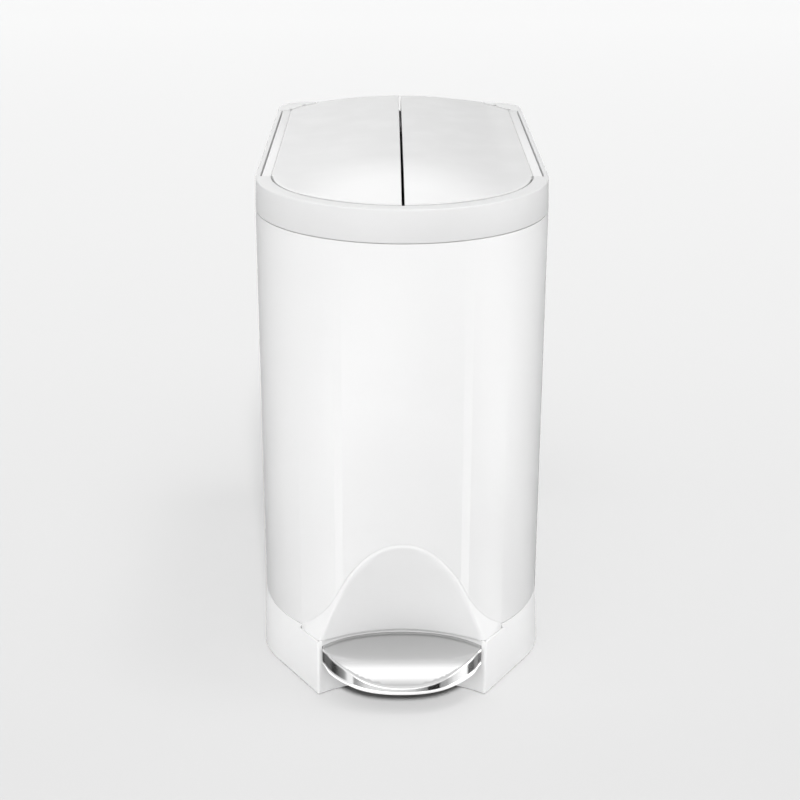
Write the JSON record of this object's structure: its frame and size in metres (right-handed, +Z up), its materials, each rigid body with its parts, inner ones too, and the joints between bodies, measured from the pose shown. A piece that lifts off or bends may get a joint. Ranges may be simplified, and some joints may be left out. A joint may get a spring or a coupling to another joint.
{
  "type": "pedal bin",
  "caption": "Slim upright bin with a half-round front, a split lid whose wings hinge along the long sides, and a foot pedal in an arched recess that lifts the wings.",
  "frame": {"origin": "centre of the overall box in plan, on the floor under the feet", "axes": "+Z up, -Y to the front (pedal side, half-round end), +X to the right as seen from above with the front nearest; millimetres in the model, metres in the row"},
  "size_m": [0.1792, 0.34, 0.3164],
  "materials": {
    "painted_steel": "white, gloss, smooth",
    "rim_plastic": "white, satin",
    "wing_plastic": "white, satin",
    "strip_plastic": "white, satin",
    "base_plastic": "white, fine matt",
    "panel_plastic": "white, fine matt",
    "liner_plastic": "off-white, matt",
    "bucket_plastic": "fine matt",
    "cover_plastic": "matt",
    "guide_plastic": "natural nylon",
    "damper_aluminium": "drawn",
    "plain_steel": "zinc plated",
    "pedal_metal": "brushed top, polished flange",
    "rubber": "matt"
  },
  "bodies": {
    "housing": {"base": "base_plastic", "bottom_cover": "cover_plastic", "steel_body": "painted_steel", "arch_panel": "panel_plastic", "top_rim": "rim_plastic", "inner_bucket": "bucket_plastic", "mechanism_cover": "cover_plastic", "rod_guides": "guide_plastic", "deck_bushes": "guide_plastic", "damper_cylinder": "damper_aluminium", "pedal_axle": "plain_steel", "lever_stop": "rubber", "feet": "rubber", "cover_screws": "plain_steel", "lid_buffers": "rubber", "front_hinge_pins": "plain_steel", "rear_hinge_pins": "plain_steel"},
    "pedal": {"pedal_plate": "pedal_metal", "pedal_bracket": "guide_plastic", "pedal_lever": "plain_steel", "lever_bushes": "guide_plastic", "pedal_rivets": "plain_steel", "lever_tip_pad": "guide_plastic"},
    "lift": {"lift_crossbar": "plain_steel", "lift_rod_left": "plain_steel", "lift_rod_right": "plain_steel", "yoke_left": "guide_plastic", "yoke_right": "guide_plastic", "damper_rod": "plain_steel"},
    "wing_left": {"left_wing": "wing_plastic", "left_wing_liner": "liner_plastic", "left_hinge_strip": "strip_plastic", "left_crank": "liner_plastic", "left_crank_pin": "plain_steel"},
    "wing_right": {"right_wing": "wing_plastic", "right_wing_liner": "liner_plastic", "right_hinge_strip": "strip_plastic", "right_crank": "liner_plastic", "right_crank_pin": "plain_steel"}
  },
  "joints": [
    {"name": "right_wing_hinge", "type": "hinge", "parent": "housing", "child": "wing_right", "pos_m": [0.08075, 0, 0.30905], "axis": [0, 1, 0], "range_deg": [0, 80]},
    {"name": "left_wing_hinge", "type": "hinge", "parent": "housing", "child": "wing_left", "pos_m": [-0.08075, 0, 0.30905], "axis": [0, -1, 0], "range_deg": [0, 80]},
    {"name": "pedal_pivot", "type": "hinge", "parent": "housing", "child": "pedal", "pos_m": [0, -0.06405, 0.013], "axis": [1, 0, 0], "range_deg": [0, 4.5]},
    {"name": "lift_slide", "type": "slide", "parent": "housing", "child": "lift", "axis": [0, 0, 1], "range_m": [0, 0.0156]}
  ],
  "couplings": [
    {"joint": "left_wing_hinge", "follows": "right_wing_hinge", "ratio": 1},
    {"joint": "pedal_pivot", "follows": "right_wing_hinge", "ratio": 0.05516},
    {"joint": "lift_slide", "follows": "right_wing_hinge", "m_per_rad": 0.011049}
  ]
}
